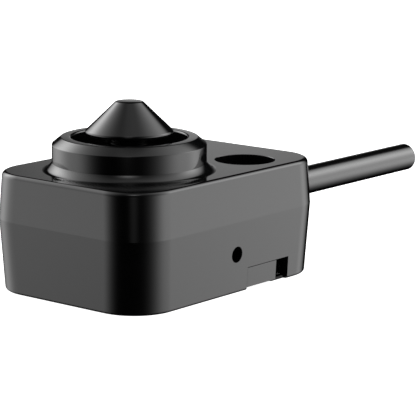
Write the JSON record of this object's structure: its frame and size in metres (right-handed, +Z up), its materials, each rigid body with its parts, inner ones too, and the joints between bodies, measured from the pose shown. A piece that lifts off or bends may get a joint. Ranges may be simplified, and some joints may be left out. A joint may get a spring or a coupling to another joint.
{
  "type": "cup anemometer sensor head",
  "caption": "Moulded wind-speed sensor head: a conical rotor hub turns in a round collar, beside a rod bore, on a housing with a straight cable stub and a base cover.",
  "frame": {"origin": "centre of the underside of the head, on the surface it stands on, measured without the cable and its grommet", "axes": "+X along the head's length, towards the cable; +Z up along the rotor's spindle; +Y across, away from the side with the small port"},
  "size_m": [0.1195, 0.0422, 0.0376],
  "materials": {
    "base_cover": "satin gloss black moulded ABS",
    "bearing_spacer": "natural white nylon",
    "board_screw_1": "zinc-plated steel",
    "board_screw_2": "zinc-plated steel",
    "cable_grommet": "matt black rubber",
    "cable_jacket": "satin black PVC jacket",
    "cable_tie": "black nylon",
    "capacitor": "drawn aluminium can",
    "circuit_board": "green solder mask on glass-fibre board",
    "core_black": "black PVC insulation",
    "core_red": "red PVC insulation",
    "core_yellow": "yellow PVC insulation",
    "cover_gasket": "matt black rubber",
    "cover_screw_1": "zinc-plated steel",
    "cover_screw_2": "zinc-plated steel",
    "cover_screw_3": "zinc-plated steel",
    "cover_screw_4": "zinc-plated steel",
    "housing": "satin gloss black moulded ABS",
    "hub_cone": "satin black moulded acetal",
    "inner_ring_spacer": "turned brass",
    "lower_bearing_ball_1": "polished bearing steel",
    "lower_bearing_ball_2": "polished bearing steel",
    "lower_bearing_ball_3": "polished bearing steel",
    "lower_bearing_ball_4": "polished bearing steel",
    "lower_bearing_ball_5": "polished bearing steel",
    "lower_bearing_ball_6": "polished bearing steel",
    "lower_bearing_ball_7": "polished bearing steel",
    "lower_bearing_cage": "pressed brass",
    "lower_bearing_inner_ring": "polished bearing steel",
    "lower_bearing_outer_ring": "polished bearing steel",
    "magnet_1": "nickel-plated magnet",
    "magnet_2": "nickel-plated magnet",
    "magnet_wheel": "natural white nylon",
    "pulse_sensor": "black moulded epoxy",
    "retaining_clip": "zinc-plated spring steel",
    "shaft_seal": "matt black rubber",
    "signal_chip": "black moulded epoxy",
    "spindle": "ground stainless steel",
    "upper_bearing_ball_1": "polished bearing steel",
    "upper_bearing_ball_2": "polished bearing steel",
    "upper_bearing_ball_3": "polished bearing steel",
    "upper_bearing_ball_4": "polished bearing steel",
    "upper_bearing_ball_5": "polished bearing steel",
    "upper_bearing_ball_6": "polished bearing steel",
    "upper_bearing_ball_7": "polished bearing steel",
    "upper_bearing_cage": "pressed brass",
    "upper_bearing_inner_ring": "polished bearing steel",
    "upper_bearing_outer_ring": "polished bearing steel",
    "wire_terminal": "cream nylon connector body"
  },
  "bodies": {
    "head": {"base_cover": "base_cover", "bearing_spacer": "bearing_spacer", "board_screw_1": "board_screw_1", "board_screw_2": "board_screw_2", "cable_grommet": "cable_grommet", "cable_jacket": "cable_jacket", "cable_tie": "cable_tie", "capacitor": "capacitor", "circuit_board": "circuit_board", "core_black": "core_black", "core_red": "core_red", "core_yellow": "core_yellow", "cover_gasket": "cover_gasket", "cover_screw_1": "cover_screw_1", "cover_screw_2": "cover_screw_2", "cover_screw_3": "cover_screw_3", "cover_screw_4": "cover_screw_4", "housing": "housing", "lower_bearing_outer_ring": "lower_bearing_outer_ring", "pulse_sensor": "pulse_sensor", "shaft_seal": "shaft_seal", "signal_chip": "signal_chip", "upper_bearing_outer_ring": "upper_bearing_outer_ring", "wire_terminal": "wire_terminal"},
    "rotor": {"hub_cone": "hub_cone", "spindle": "spindle", "upper_bearing_inner_ring": "upper_bearing_inner_ring", "lower_bearing_inner_ring": "lower_bearing_inner_ring", "inner_ring_spacer": "inner_ring_spacer", "retaining_clip": "retaining_clip", "magnet_wheel": "magnet_wheel", "magnet_1": "magnet_1", "magnet_2": "magnet_2"},
    "upper_ball_set": {"upper_bearing_ball_1": "upper_bearing_ball_1", "upper_bearing_ball_2": "upper_bearing_ball_2", "upper_bearing_ball_3": "upper_bearing_ball_3", "upper_bearing_ball_4": "upper_bearing_ball_4", "upper_bearing_ball_5": "upper_bearing_ball_5", "upper_bearing_ball_6": "upper_bearing_ball_6", "upper_bearing_ball_7": "upper_bearing_ball_7", "upper_bearing_cage": "upper_bearing_cage"},
    "lower_ball_set": {"lower_bearing_ball_1": "lower_bearing_ball_1", "lower_bearing_ball_2": "lower_bearing_ball_2", "lower_bearing_ball_3": "lower_bearing_ball_3", "lower_bearing_ball_4": "lower_bearing_ball_4", "lower_bearing_ball_5": "lower_bearing_ball_5", "lower_bearing_ball_6": "lower_bearing_ball_6", "lower_bearing_ball_7": "lower_bearing_ball_7", "lower_bearing_cage": "lower_bearing_cage"}
  },
  "joints": [
    {"name": "rotor_spin", "type": "hinge", "parent": "head", "child": "rotor", "pos_m": [-0.0087, 0, 0.0138], "axis": [0, 0, 1], "continuous": true},
    {"name": "upper_ball_set_spin", "type": "hinge", "parent": "head", "child": "upper_ball_set", "pos_m": [-0.0087, 0, 0.0213], "axis": [0, 0, 1], "continuous": true},
    {"name": "lower_ball_set_spin", "type": "hinge", "parent": "head", "child": "lower_ball_set", "pos_m": [-0.0087, 0, 0.0096], "axis": [0, 0, 1], "continuous": true}
  ],
  "couplings": [
    {"joint": "upper_ball_set_spin", "follows": "rotor_spin", "ratio": 0.3853},
    {"joint": "lower_ball_set_spin", "follows": "rotor_spin", "ratio": 0.3853}
  ]
}
